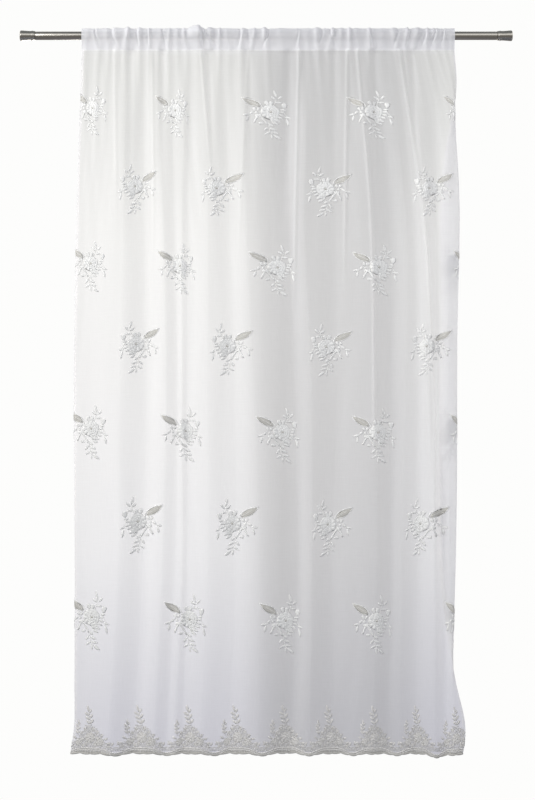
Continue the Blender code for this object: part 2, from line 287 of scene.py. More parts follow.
def gathers_left(height):
    """What is left of the gathers at the stitching and below it, as they open into the long folds."""
    below = height - STITCH_Z
    kept = GATHER_KEEP * np.exp(below / KEPT_FADE)
    return GATHERS_AT_STITCH * (kept + (1.0 - GATHER_KEEP) * np.exp(below / GATHER_FADE))


def folds_out(along, height):
    """How far the long folds stand out, from one ridge or trough line to the next."""
    falling = -np.asarray(FOLD_LEVELS)
    lines = np.stack([smooth_through(falling, fold[:5], -height) for fold in FOLDS])
    outs = np.stack([smooth_through(falling[::2], fold[5:], -height) for fold in FOLDS])
    left = np.clip((lines < along).sum(axis=0) - 1, 0, len(FOLDS) - 2)
    column = np.arange(len(along))
    start, end = lines[left, column], lines[left + 1, column]
    share = np.clip((along - start) / (end - start), 0.0, 1.0)
    share = FOLD_CRISPNESS * share + (1.0 - FOLD_CRISPNESS) * smooth_steps(0.0, 1.0, share)
    shown = smooth_steps(FOLDS_BEGIN, FOLDS_FULL, -height)
    return shown * (outs[left, column] * (1.0 - share) + outs[left + 1, column] * share)


def creases_out(along, height):
    """The narrow creases below the heading."""
    total = np.zeros_like(along)
    for crease in CREASES:
        line = smooth_through([-level for level in CREASE_LEVELS], crease[:3], -height)
        ridge = np.exp(-(((along - line) / crease.half_width) ** 2))
        shown = 1.0 - smooth_steps(-crease.foot - CREASE_FADE, -crease.foot, -height)
        total += crease.out * ridge * shown
    return total


def ripples_out(flat, height):
    """The small waves between the folds, which fade in below the stitching."""
    total = np.zeros_like(flat)
    for ripple in RIPPLES:
        wander = ripple.wander * np.sin(tau * height / ripple.over + ripple.start)
        swell = RIPPLES_MEAN + RIPPLES_SWING * np.sin(tau * flat / RIPPLES_OVER + ripple.start)
        strength = swell * np.exp(height / ripple.fade)
        total += ripple.size * strength * np.sin(tau * (flat + wander) / ripple.wave + ripple.start)
    return total * smooth_steps(RIPPLES_BEGIN, RIPPLES_FULL, -height)


def hang(flat, height):
    """The cloth's middle surface below the stitching: x, y and z of each point."""
    along = along_rod(flat, height)
    gathered = along_rod(flat, np.full_like(height, STITCH_Z))
    depth = gathers_out(gathered) * gathers_left(height) + folds_out(along, height)
    depth += STITCH_OUT * np.exp((height - STITCH_Z) / STITCH_FADE)
    depth += creases_out(along, height) + ripples_out(flat, height)
    turned = smooth_steps(TURN_START - TURN_ROUNDING, CLOTH_WIDTH, flat)
    turned *= smooth_steps(*TURN_BEGINS, -height) * (1.0 - smooth_steps(*TURN_ENDS, -height))
    return np.stack([along, TURN_BACK * turned - depth, height], axis=-1)


def hem_height(flat):
    """The lower edge: a deep lobe between two sprigs of the border and a small one below each."""
    turn = tau * (flat - FIRST_SPRIG) / REPEAT
    deep = np.clip(0.5 - 0.5 * np.cos(turn), 0.0, 1.0) ** 2
    small = np.clip(0.5 + 0.5 * np.cos(turn), 0.0, 1.0) ** 3
    sag = SAG * np.exp(-(((flat - SAG_AT) / SAG_HALF_WIDTH) ** 2))
    return HEM_Z - DEEP_SCALLOP * deep - SMALL_SCALLOP * small - sag


def on_cloth(flat, height, raised):
    """Points at a distance off the cloth's face, towards the room where raised is above 0."""
    across = hang(flat + MILLI, height) - hang(flat - MILLI, height)
    down = hang(flat, height - MILLI) - hang(flat, height + MILLI)
    face = np.cross(down, across)
    face /= np.linalg.norm(face, axis=-1, keepdims=True)
    return hang(flat, height) + face * raised[:, None]


def add(tree, kind, sockets=None, **settings):
    """Adds a shader node with its settings. sockets gives an input's value, or the output linked to it."""
    made = tree.nodes.new("ShaderNode" + kind)
    for name, value in settings.items():
        setattr(made, name, value)
    for key, value in (sockets or {}).items():
        if isinstance(value, bpy.types.NodeSocket):
            tree.links.new(value, made.inputs[key])
        else:
            made.inputs[key].default_value = value
    return made


def new_material(name):
    """An empty node material and its output."""
    made = bpy.data.materials.new(name)
    made.use_nodes = True
    made.node_tree.nodes.clear()
    return made, made.node_tree


def rgba(colour):
    return (*colour, 1.0)


# A wave texture's scale for one stripe a metre
WAVE_SCALE = 0.314
# Real yarn is about 0.35 mm apart. It is drawn at this coarser spacing so that the weave shows at all.
YARN_DRAWN = 0.0016
# Slubs are the yarn's thicker stretches. They make the share of holes uneven by this much.
SLUB_LONG = 0.060
SLUB_WIDE = 0.0022
SLUB_STRENGTH = 0.022
# The share of the holes that stays open in the doubled pocket, and the least that slanted cloth counts as
POCKET_OPEN = 0.78
LEAST_FACING = 0.18


def voile_material(cloth):
    """Polyester voile, plain woven from fine twisted yarn. White and matt, and see-through between its yarns.

    Slanted cloth shows less of its holes, so the sides of folds look denser. Light from behind glows through.
    """
    made, tree = new_material("polyester voile, plain weave")
    place = add(tree, "UVMap", uv_map="cloth").outputs["UV"]
    slubs = []
    for scale in ((1.0 / SLUB_WIDE, 1.0 / SLUB_LONG, 1.0), (1.0 / SLUB_LONG, 1.0 / SLUB_WIDE, 1.0)):
        stretched = add(tree, "Mapping", {"Vector": place, "Scale": scale}).outputs[0]
        noise = add(tree, "TexNoise", {"Vector": stretched, "Scale": 1.0, "Detail": 2.0})
        slubs.append(noise.outputs[0])
    slub = add(tree, "Math", {0: slubs[0], 1: slubs[1]}, operation="ADD").outputs[0]
    yarns = []
    for direction in ("X", "Y"):
        spacing = {"Vector": place, "Scale": WAVE_SCALE / YARN_DRAWN}
        wave = add(tree, "TexWave", spacing, bands_direction=direction)
        yarns.append(wave.outputs["Fac"])
    weave = add(tree, "Math", {0: yarns[0], 1: yarns[1]}, operation="MAXIMUM").outputs[0]

    # How much light goes straight through: less in the pocket, and less at a slant
    most, least = cloth.open_share + SLUB_STRENGTH, cloth.open_share - SLUB_STRENGTH
    even = add(tree, "MapRange", {0: slub, 1: 0.6, 2: 1.4, 3: most, 4: least}).outputs[0]
    up = add(tree, "SeparateXYZ", {0: place}).outputs[1]
    pocket = add(tree, "MapRange", {0: up, 1: STITCH_Z - MILLI, 2: STITCH_Z + MILLI}).outputs[0]
    left = add(tree, "MapRange", {0: pocket, 3: 1.0, 4: POCKET_OPEN}).outputs[0]
    even = add(tree, "Math", {0: even, 1: left}, operation="MULTIPLY").outputs[0]
    facing = add(tree, "LayerWeight", {"Blend": 0.5}).outputs["Facing"]
    square_on = add(tree, "Math", {0: 1.0, 1: facing}, operation="SUBTRACT").outputs[0]
    square_on = add(tree, "Math", {0: square_on, 1: LEAST_FACING}, operation="MAXIMUM").outputs[0]
    slant = add(tree, "Math", {0: 1.0, 1: square_on}, operation="DIVIDE").outputs[0]
    through = add(tree, "Math", {0: even, 1: slant}, operation="POWER").outputs[0]

    bump = add(tree, "Bump", {"Height": weave, "Strength": 0.12, "Distance": 0.0003}).outputs[0]
    # The pocket is painted a brighter, bluer tint than the yarn: painted light for the light on the pocket
    # and its bluish shade.
    tints = {"Factor": pocket, 6: rgba(cloth.colour), 7: rgba(cloth.pocket_painted_light)}
    tint = add(tree, "Mix", tints, data_type="RGBA").outputs[2]
    matt = add(tree, "BsdfDiffuse", {"Color": tint, "Normal": bump}).outputs[0]
    glow = add(tree, "BsdfTranslucent", {"Color": rgba(cloth.glow), "Normal": bump}).outputs[0]
    yarn = add(tree, "MixShader", {0: cloth.glow_share, 1: matt, 2: glow}).outputs[0]
    holes = add(tree, "BsdfTransparent", {"Color": rgba(cloth.holes)}).outputs[0]
    mixed = add(tree, "MixShader", {0: through, 1: yarn, 2: holes}).outputs[0]
    add(tree, "OutputMaterial", {"Surface": mixed})
    return made


def shaded_colour(tree, colour, noise, least):
    """A colour that the noise darkens in places, down to the least share of it."""
    shade = add(tree, "MapRange", {0: noise, 1: 0.3, 2: 0.7, 3: least, 4: 1.0}).outputs[0]
    colours = {"Factor": 1.0, 6: rgba(colour), 7: shade}
    return add(tree, "Mix", colours, data_type="RGBA", blend_type="MULTIPLY").outputs[2]


# Embroidery thread is about 0.4 mm across. Its lines are drawn at this coarser spacing so that they show.
THREAD_DRAWN = 0.0011


def satin_material(name, colour, glow):
    """Rayon embroidery thread laid side by side in satin stitch: bright along the lines, grey in the dips."""
    made, tree = new_material(name)
    place = add(tree, "UVMap", uv_map="stitch").outputs["UV"]
    spacing = {"Vector": place, "Scale": WAVE_SCALE / THREAD_DRAWN, "Distortion": 0.6, "Detail": 1.0}
    lines = add(tree, "TexWave", spacing, bands_direction="X").outputs["Fac"]
    uneven = add(tree, "TexNoise", {"Vector": place, "Scale": 160.0, "Detail": 2.0}).outputs[0]
    tinted = shaded_colour(tree, colour, uneven, 0.90)
    bump = add(tree, "Bump", {"Height": lines, "Strength": 0.35, "Distance": 0.0004}).outputs[0]
    finish = {"Base Color": tinted, "Roughness": 0.38, "IOR": 1.52, "Sheen Weight": 0.15, "Normal": bump}
    thread = add(tree, "BsdfPrincipled", finish).outputs[0]
    back = add(tree, "BsdfTranslucent", {"Color": rgba(colour)}).outputs[0]
    mixed = add(tree, "MixShader", {0: glow, 1: thread, 2: back}).outputs[0]
    add(tree, "OutputMaterial", {"Surface": mixed})
    return made


def nickel_material(colour):
    """Steel tube with satin nickel plate, very finely brushed around it."""
    made, tree = new_material("satin nickel plate on steel")
    place = add(tree, "TexCoord").outputs["Object"]
    brushed = add(tree, "Mapping", {"Vector": place, "Scale": (900.0, 40.0, 40.0)}).outputs[0]
    grain = add(tree, "TexNoise", {"Vector": brushed, "Scale": 1.0, "Detail": 2.0}).outputs[0]
    tinted = shaded_colour(tree, colour, grain, 0.92)
    finish = {"Base Color": tinted, "Metallic": 1.0, "Roughness": 0.20}
    shader = add(tree, "BsdfPrincipled", finish).outputs[0]
    add(tree, "OutputMaterial", {"Surface": shader})
    return made


def new_piece(name, points, faces, material, uv_name=None, uvs=None):
    """A mesh object with its points in place, smooth shaded, riding on the part's one body."""
    mesh = bpy.data.meshes.new(name)
    mesh.from_pydata([], [], [])
    mesh.vertices.add(len(points))
    mesh.vertices.foreach_set("co", np.asarray(points, np.float32).ravel())
    faces = [np.asarray(block) for block in faces]
    corners = np.concatenate([block.ravel() for block in faces])
    counts = np.concatenate([np.full(len(block), block.shape[1]) for block in faces])
    mesh.loops.add(len(corners))
    mesh.loops.foreach_set("vertex_index", corners.astype(np.int32))
    mesh.polygons.add(len(counts))
    starts = np.concatenate([[0], np.cumsum(counts)[:-1]])
    mesh.polygons.foreach_set("loop_start", starts.astype(np.int32))
    if uvs is not None:
        layer = mesh.uv_layers.new(name=uv_name)
        layer.data.foreach_set("uv", np.asarray(uvs, np.float32)[corners].ravel())
    mesh.update(calc_edges=True)
    mesh.validate()
    mesh.shade_smooth()
    mesh.materials.append(material)
    piece = bpy.data.objects.new(name, mesh)
    bpy.context.scene.collection.objects.link(piece)
    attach(piece, BODY)
    return piece


def grid_faces(rows, columns, first=0):
    """Four-sided faces of a grid of points that is stored row by row."""
    corner = first + (np.arange(rows - 1)[:, None] * columns + np.arange(columns - 1)).ravel()
    return np.stack([corner, corner + 1, corner + columns + 1, corner + columns], axis=1)


def pocket_rows(flat, count):
    """Rows of points from the stitching over the rod and down behind it, with the gathers and pleats."""
    along = along_rod(flat, np.full_like(flat, STITCH_Z))
    lean = sum(one.size * np.sin(tau * along / one.wave + one.start) for one in LEANS)
    mean, swing, wave, start = UNEVEN
    uneven = mean + swing * np.sin(tau * along / wave + start)
    knots = np.arange(len(POCKET))
    rows = []
    for where in np.linspace(0.0, knots[-1], count):
        at = np.full(1, where)
        y, z, push, lift = (smooth_through(knots, column, at)[0] for column in zip(*POCKET))
        kept = 1.0 - smooth_steps(FADES_FROM, knots[-1], where)
        risen = float(smooth_steps(0.0, RISEN_AT, where) * kept)
        pleated = float(smooth_steps(0.0, PLEATED_AT, where) * kept)
        out = gathers_out(along + lean * risen)
        pinched = GATHER_MOST * (out / GATHER_MOST) ** PINCH * uneven
        out = (out * (1.0 - risen) + pinched * risen) * (1.0 - FLATTER * np.sin(pi * risen))
        out = out + POCKET_LOOSE * pleated
        for pleat in PLEATS:
            line = pleat.low + (pleat.top - pleat.low) * risen
            out = out - pleat.depth * pleated * np.exp(-(((along - line) / pleat.half_width) ** 2))
        rows.append(np.stack([along, y + push * out, z + lift * out], axis=-1))
    return rows


def make_cloth(cloth):
    """The one sheet: its drop, the pocket over the rod, and the narrow turned side hems behind it."""
    flat = np.linspace(0.0, CLOTH_WIDTH, cloth.columns)
    low = hem_height(flat)
    points, uvs, faces = [], [], []
    for share in np.linspace(0.0, 1.0, cloth.rows) ** ROWS_CLOSER:
        height = low * (1.0 - share) + STITCH_Z * share
        points.append(hang(flat, height))
        uvs.append(np.stack([flat, height], axis=-1))
    over = pocket_rows(flat, cloth.pocket_rows)[1:]
    for step, row in enumerate(over, 1):
        points.append(row)
        uvs.append(np.stack([flat, np.full_like(flat, STITCH_Z + POCKET_GIRTH * step / len(over))], axis=-1))
    faces.append(grid_faces(len(points), cloth.columns))
    made = len(points) * cloth.columns
    across = np.linspace(0.0, cloth.side_hem, SIDE_HEM_COLUMNS)
    for edge, inward in ((0.0, 1.0), (CLOTH_WIDTH, -1.0)):
        strip = edge + inward * across
        rows = np.linspace(0.0, 1.0, cloth.rows // 2)
        at_flat = np.tile(strip, len(rows))
        at_height = np.concatenate([hem_height(strip) * (1.0 - share) + STITCH_Z * share for share in rows])
        points.append(on_cloth(at_flat, at_height, np.full_like(at_flat, -SIDE_HEM_BACK)))
        uvs.append(np.stack([at_flat, at_height], axis=-1))
        faces.append(grid_faces(len(rows), len(strip), made))
        made += len(at_flat)
    piece = new_piece(
        "voile_sheet", np.concatenate(points), faces, voile_material(cloth), "cloth", np.concatenate(uvs)
    )
    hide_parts("curtain")


# A raised shape is a run of rings. Each ring has these places across the shape and heights above the cloth.
RING_ACROSS = np.array([-1.0, -0.62, 0.0, 0.62, 1.0, 0.0])
RING_UP = np.array([0.0, 0.78, 1.0, 0.78, 0.0, -0.30])


class Embroidery:
    """Raised shapes, collected in flat cloth coordinates and then laid on the hanging cloth."""

    def __init__(self):
        self.places = []
        self.raised = []
        self.uvs = []
        self.quads = []
        self.tips = []
        self.count = 0

    def strand(self, path, widths, high):
        """A run of stitches along path, as wide as widths gives at each of its points."""
        path = np.asarray(path, float)
        half = np.asarray(widths, float) / 2.0
        steps = np.gradient(path, axis=0)
        steps /= np.maximum(np.linalg.norm(steps, axis=1, keepdims=True), 1e-9)
        side = np.stack([-steps[:, 1], steps[:, 0]], axis=1)
        reach = np.concatenate([[0.0], np.cumsum(np.linalg.norm(np.diff(path, axis=0), axis=1))])
        across = RING_ACROSS[None, :] * half[:, None]
        lift = RING_UP[None, :] * (high * np.sqrt(half / half.max()))[:, None]
        rings = path[:, None, :] + side[:, None, :] * across[:, :, None]
        self.places.append(np.concatenate([rings.reshape(-1, 2), path[:1], path[-1:]]))
        self.raised.append(np.concatenate([lift.ravel(), [0.0, 0.0]]))
        along = np.stack([np.broadcast_to(reach[:, None], across.shape), across], axis=-1).reshape(-1, 2)
        self.uvs.append(np.concatenate([along, [[0.0, 0.0], [reach[-1], 0.0]]]))
        size = len(RING_ACROSS)
        ring = np.arange(size)
        following = (ring + 1) % size
        for k in range(len(path) - 1):
            near, far = self.count + k * size, self.count + (k + 1) * size
            self.quads.append(np.stack([near + ring, near + following, far + following, far + ring], axis=1))
        start, end = self.count + len(path) * size, self.count + len(path) * size + 1
        last = self.count + (len(path) - 1) * size
        self.tips.append(np.stack([np.full(size, start), self.count + following, self.count + ring], axis=1))
        self.tips.append(np.stack([np.full(size, end), last + ring, last + following], axis=1))
        self.count += len(path) * size + 2

    def build(self, name, material):
        """Lays the collected shapes on the cloth as one mesh."""
        places = np.concatenate(self.places)
        points = on_cloth(places[:, 0], places[:, 1], np.concatenate(self.raised) + LIFT)
        faces = [np.concatenate(self.quads), np.concatenate(self.tips)]
        piece = new_piece(name, points, faces, material, "stitch", np.concatenate(self.uvs))
        return piece


LIFT = 0.0002
# How a shape swells from its root to its tip: the powers of the shares gone and left
LEAF = (0.85, 0.80)
PETAL = (0.80, 0.38)
CUP = (0.75, 0.36)
PETAL_STEPS = 5


def turned(x, y, degrees):
    """A point turned about the origin."""
    angle = radians(degrees)
    return x * np.cos(angle) - y * np.sin(angle), x * np.sin(angle) + y * np.cos(angle)


class Spray:
    """Where one motif lies on the cloth: its centre, its scale each way, and whether it is mirrored."""

    def __init__(self, stitches, flat, height, wide, tall, mirrored=False):
        self.stitches = stitches
        self.centre = np.array([flat, height])
        self.scale = np.array([-wide if mirrored else wide, tall]) * MILLI

    def strand(self, path, widths, high):
        """A run of stitches in the motif's own millimetres."""
        placed = self.centre + np.asarray(path, float) * self.scale
        self.stitches.strand(placed, np.asarray(widths, float) * MILLI, high * MILLI)

    def leaf(self, root, tip, width, form=LEAF, high=0.9, steps=6):
        """A filled leaf, petal or bud from its root to its tip, in millimetres."""
        share = np.linspace(0.04, 0.96, steps)
        swell = share ** form[0] * (1.0 - share) ** form[1]
        path = np.asarray(root, float) + share[:, None] * (np.asarray(tip, float) - np.asarray(root, float))
        self.strand(path, width * swell / swell.max(), high)

    def pad(self, x, y, turn, length, width, form=LEAF, high=0.9, steps=6):
        """A leaf or petal from its root, by its direction in degrees and its length."""
        reach, rise = turned(length, 0.0, turn)
        self.leaf((x, y), (x + reach, y + rise), width, form, high, steps)

    def disc(self, x, y, radius, high, steps=9):
        """A low round filling."""
        across = np.cos(np.linspace(pi, 0.0, steps + 2))[1:-1]
        path = np.stack([x + radius * across, np.full(steps, float(y))], axis=1)
        self.strand(path, 2.0 * radius * np.sqrt(1.0 - across**2), high)

    def line(self, points, width=1.8, high=0.9, steps=10):
        """A satin line along a smooth curve through the points."""
        points = np.asarray(points, float)
        knots = np.linspace(0.0, 1.0, len(points))
        share = np.linspace(0.0, 1.0, steps)
        path = np.stack([smooth_through(knots, points[:, i], share) for i in range(2)], axis=1)
        self.strand(path, np.full(steps, width), high)

    def sprig(self, x, y, turn, length, pairs, leaf, width, spread=48.0):
        """A stem with pairs of leaves and one leaf at its tip."""
        stem = length - leaf
        root = np.array([x, y])
        way = np.array(turned(1.0, 0.0, turn))
        tip = root + way * stem
        self.line([root, root + way * stem * 0.5, tip], 1.8, 0.7, 5)
        self.pad(*tip, turn, leaf, width)
        for pair in range(pairs):
            share = (pair + 0.55) / pairs
            for side in (-1.0, 1.0):
                foot = root + way * share * stem * (1.0 - 0.10 * side)
                self.pad(*foot, turn + side * spread, leaf * (0.80 + 0.12 * side), width)

    def rosette(self, x, y, radius, petals, high=0.8, start=10.0):
        """A flower of three rounds of overlapping petals on a low disc, around a hollow middle."""
        self.disc(x, y, radius * 0.92, high * 0.7)
        rounds = ((0.46, 1.00, 0.84, 1.0), (0.24, 0.72, 0.62, 1.5), (0.12, 0.44, 0.42, 1.9))
        for number, (root, tip, width, rise) in enumerate(rounds):
            count = petals - number
            for k in range(count):
                turn = start + 360.0 * (k + 0.5 * number) / count
                px, py = turned(radius * root, 0.0, turn)
                size = radius * (tip - root), radius * width
                self.pad(x + px, y + py, turn, *size, PETAL, high * rise, PETAL_STEPS)


# The heights of the rows of sprays, how tall each row's are drawn, how wide all are, and the dip of a row
SPRAY_ROWS = (-0.237, -0.491, -0.750, -1.012, -1.295, -1.598, -1.917)
SPRAY_TALL = (0.82, 0.84, 0.86, 0.89, 0.93, 0.97, 1.00)
SPRAY_WIDE = 1.12
ROW_DIP = 0.015
DIP_OVER = 1.90
# The spray's plain leaves and small petals, in millimetres: root, tip and width
SPRAY_LEAVES = (
    (-22, 57, -13, 88, 8.5), (-24, 50, -39, 66, 8.0), (-20, 49, -4, 62, 8.5), (-15, 38, -36, 37, 7.0),
    (-29, 9, -47, 9, 7.5), (-25, 0, -43, 0, 7.5), (-24, -8, -42, -16, 8.0), (-18, -18, -37, -27, 8.0),
    (-8, -29, -30, -40, 8.5), (-2, -39, -24, -51, 8.5), (8, -47, -7, -58, 8.0), (-41, -18, -60, -24, 7.0),
    (-46, -24, -53, -55, 8.5), (47, 2, 58, -8, 9.0), (56, -9, 77, -14, 7.5), (61, -14, 66, -38, 8.5),
    (5, -64, -17, -73, 8.5), (8, -59, 21, -76, 8.0), (1, -80, -22, -86, 7.5), (1, -79, 21, -92, 7.0),
    (-5, -91, -29, -109, 9.5), (1, -88, -2, -108, 7.0),
)
SPRAY_PETALS = (
    (0, 24, -7, 43, 14.0), (4, 24, 13, 44, 14.0), (37, 5, 31, 18, 10.0), (40, 5, 47, 18, 10.0),
    (41, 4, 38, -6, 9.0), (22, -11, 44, -15, 10.0),
)
INNER_PETALS = (-72, -38, -4, 30)
INNER_ROOT = 11.0


def sew_spray(spray, shaded):
    """One flower spray, in millimetres about the middle of its large flower, with its big leaf upper right.

    shaded takes the stitches of the darker thread: the filling of the big leaf and the middle of the flower.
    """
    for form, shapes in ((LEAF, SPRAY_LEAVES), (PETAL, SPRAY_PETALS)):
        for x, y, tip_x, tip_y, width in shapes:
            spray.leaf((x, y), (tip_x, tip_y), width, form)
    spray.leaf((-41, 13), (-44, 37), 19, CUP, 1.1)
    spray.leaf((19, -46), (35, -45), 9.0, PETAL, 0.7)
    shaded.leaf((26, 21), (77, 56), 22, LEAF, 0.7, 8)
    spray.line([(22, 14), (28, 34), (50, 50), (79, 58)], 3.4, 1.4)
    spray.line([(30, 20), (52, 26), (68, 39), (79, 58)], 2.4, 1.2)
    spray.line([(28, 23), (44, 35), (62, 46)], 1.6, 1.3, 6)
    spray.line([(-11, 26), (-17, 42), (-22, 58)], 2.0, 0.7, 6)
    spray.line([(-40, 16), (-39, 2), (-46, -12), (-52, -20)], 1.8, 0.6, 8)
    spray.line([(44, 4), (54, -5), (62, -14)], 1.8, 0.6, 5)
    spray.line([(37, -12), (28, -19), (19, -33), (9, -50)], 6.2, 1.2)
    spray.line([(34, -15), (40, -26), (47, -43)], 6.4, 1.2, 7)
    spray.line([(6, -42), (6, -62), (1, -82), (-7, -94)], 2.0, 0.7, 12)
    spray.rosette(-10, -28, 12, 6, 0.8)
    spray.rosette(0, 0, 28, 9, 0.9)
    for turn in INNER_PETALS:
        x, y = turned(INNER_ROOT, 0.0, turn)
        spray.pad(x, y, turn, 17, 14, PETAL, 1.9)
    shaded.disc(-1, 0, 4.2, 2.3, 5)


def make_sprays():
    """Seven rows of sprays. Every second row is mirrored and lies half a repeat further on."""
    stitches, shaded = Embroidery(), Embroidery()
    for row, (height, tall) in enumerate(zip(SPRAY_ROWS, SPRAY_TALL)):
        mirrored = row % 2 == 0
        flat = FIRST_SPRIG + (0.0 if mirrored else REPEAT)
        while flat < CLOTH_WIDTH:
            dip = ROW_DIP * np.sin(pi * flat / DIP_OVER)
            place = (flat, height - dip, SPRAY_WIDE, tall, mirrored)
            sew_spray(Spray(stitches, *place), Spray(shaded, *place))
            flat += 2.0 * REPEAT
    return stitches, shaded


# The lace over each scallop is a mound of small stitches, lower in the valleys between the tall sprigs. Its
# upper edge is ragged. The stitches stand SEED_GAP apart, and each is turned by SEED_TURN from the last.
SEEDS_FROM = 0.012
MOUND_HIGH = 0.098
VALLEY_HIGH = 0.026
MOUND_SHAPE = 1.15
RAGGED = 0.005
SEED_GAP = 0.0060
SEED_ROW_GAP = 0.0048
SEED_TURN = 137.5
SEED_REACH = 0.0030
SEED_WIDTHS = (0.0014, 0.0036, 0.0014)
SEED_HIGH = 0.0010
# How far the border's stitches keep off the cloth's side edges
SIDE_GAP = 0.003


def sew_seeds(bright, dark, flat, base):
    """Small stitches at all angles that fill the lace over one scallop, a third of them in bright thread."""
    number = 0
    for row, up in enumerate(np.arange(SEEDS_FROM, MOUND_HIGH, SEED_ROW_GAP)):
        shift = 0.5 * SEED_GAP * (row % 2)
        for across in np.arange(-REPEAT / 2, REPEAT / 2 - SEED_GAP / 2, SEED_GAP) + shift:
            number += 1
            at = flat + across
            swell = (0.5 + 0.5 * np.cos(tau * across / REPEAT)) ** MOUND_SHAPE
            top = VALLEY_HIGH + (MOUND_HIGH - VALLEY_HIGH) * swell + RAGGED * np.sin(SEED_TURN * number)
            if up > top or not SIDE_GAP < at < CLOTH_WIDTH - SIDE_GAP:
                continue
            dx, dy = turned(SEED_REACH, 0.0, SEED_TURN * number)
            path = np.array([[at - dx, base + up - dy], [at, base + up], [at + dx, base + up + dy]])
            stitches = dark if number % 3 else bright
            stitches.strand(path, SEED_WIDTHS, SEED_HIGH)


# The border's pads, in millimetres about the same point: their roots and their directions in degrees
SCALLOP_PADS = (
    (8, 76, 60), (22, 68, 40), (36, 58, 30), (50, 48, 20), (60, 35, 8), (20, 50, 20), (-20, 46, 160),
    (-14, 76, 122), (-26, 64, 138), (-52, 50, 150), (-62, 35, 168), (-60, 26, 186), (58, 26, -6),
    (16, 30, 70), (-74, 30, 120), (74, 26, 60), (-10, 26, 100), (26, 24, 130), (-26, 22, 60),
)


def sew_scallop(spray):
    """One repeat of the border, in millimetres about a point on the hem's edge below its tall sprig."""
    spray.sprig(5, 92, 105, 72, 3, 25, 9.0, 48.0)
    spray.sprig(-46, 60, 92, 54, 3, 17, 7.5, 42.0)
    spray.rosette(1, 54, 18, 7, 0.8)
    spray.rosette(-40, 38, 12, 6, 0.8)
    spray.rosette(36, 40, 13, 6, 0.8)
    spray.disc(1, 54, 4.5, 2.2, 5)
    for x, y, turn in SCALLOP_PADS:
        spray.pad(x, y, turn, 15, 8.0, LEAF, 0.8)


# The wavy line runs between these heights over the hem, with a second line below it
WAVE_LOW = 0.008
WAVE_RISE = 0.011
WAVE_SHAPE = 0.8
WAVE_WIDTH = 0.0044
SECOND_BELOW = 0.0060
SECOND_WIDTH = 0.0034
RIM_UP = 0.0022
RIM_WIDTH = 0.0056
RUN_POINTS = 380
# The border's bars and the pocket's stitches begin this far from the cloth's side edges
SEWN_FROM = 0.004

# Bars fill the band between the rim and the wavy line. They lean left and right in turn.
BAR_GAP = 0.0046
BAR_LEAN = 0.0022
BAR_FOOT = 0.004
BAR_SHORTER = 0.006
BAR_POINTS = 4
# Small filled lobes along the hem's very edge, five to a repeat
SMALL_LOBE = REPEAT / 5.0
LOBE_WIDTH = 0.0072
LOBE_POINTS = 11
# The running stitch of the pocket: its spacing, its length, its place below the seam, and its thickness
STITCH_GAP = 0.0050
STITCH_LONG = 0.0034
STITCH_BELOW = 0.0010
STITCH_WIDTHS = (0.0005, 0.0008, 0.0008, 0.0005)


def border_wave(flat):
    """The height above the hem of the border's wavy satin line."""
    turn = tau * (flat - FIRST_SPRIG) / REPEAT
    return WAVE_LOW + WAVE_RISE * (0.5 + 0.5 * np.cos(turn)) ** WAVE_SHAPE


def sew_bars(stitches):
    """The leaning bars of the border's band."""
    share = np.linspace(0.0, 1.0, BAR_POINTS)
    for k, at in enumerate(np.arange(SEWN_FROM, CLOTH_WIDTH - SEWN_FROM, BAR_GAP)):
        place = np.array([at])
        foot = float(hem_height(place)[0]) + BAR_FOOT
        rise = float(border_wave(place)[0]) - BAR_SHORTER
        lean = BAR_LEAN * (1 if k % 2 else -1)
        path = np.stack([at + lean * share, foot + rise * share], axis=1)
        stitches.strand(path, np.full(BAR_POINTS, 0.0046), 0.0008)


def sew_lobes(stitches):
    """The small filled lobes of the hem's edge."""
    across = np.linspace(-0.5, 0.5, LOBE_POINTS)[1:-1]
    for middle in np.arange(SMALL_LOBE / 2, CLOTH_WIDTH - SMALL_LOBE / 3, SMALL_LOBE):
        along = middle + SMALL_LOBE * across
        path = np.stack([along, hem_height(along) + MILLI], axis=1)
        stitches.strand(path, LOBE_WIDTH * np.sqrt(1.0 - (2.0 * across) ** 2), 0.0012)


def make_border():
    """The embroidered border: a rim on the scallops, a wavy double line, bars between them, and flowers."""
    stitches, lace = Embroidery(), Embroidery()
    flat = FIRST_SPRIG
    while flat < CLOTH_WIDTH + REPEAT / 2:
        base = float(hem_height(np.array([min(flat, CLOTH_WIDTH)]))[0])
        sew_seeds(stitches, lace, flat, base)
        if flat < CLOTH_WIDTH:
            sew_scallop(Spray(stitches, flat, base, 1.0, 1.0))
        flat += REPEAT
    run = np.linspace(MILLI, CLOTH_WIDTH - MILLI, RUN_POINTS)
    edge = hem_height(run)
    wave = edge + border_wave(run)
    for thread, height, width, high in (
        (lace, edge + RIM_UP, RIM_WIDTH, 0.0014),
        (stitches, wave, WAVE_WIDTH, 0.0016),
        (stitches, wave - SECOND_BELOW, SECOND_WIDTH, 0.0013),
    ):
        thread.strand(np.stack([run, height], axis=1), np.full(RUN_POINTS, width), high)
    sew_bars(lace)
    sew_lobes(lace)
    return stitches, lace


def make_stitching():
    """The running stitch that closes the rod pocket."""
    stitches = Embroidery()
    points = len(STITCH_WIDTHS)
    height = np.full(points, STITCH_Z - STITCH_BELOW)
    for at in np.arange(SEWN_FROM, CLOTH_WIDTH - SEWN_FROM, STITCH_GAP):
        path = np.stack([np.linspace(at, at + STITCH_LONG, points), height], axis=1)
        stitches.strand(path, STITCH_WIDTHS, 0.0005)
    return stitches


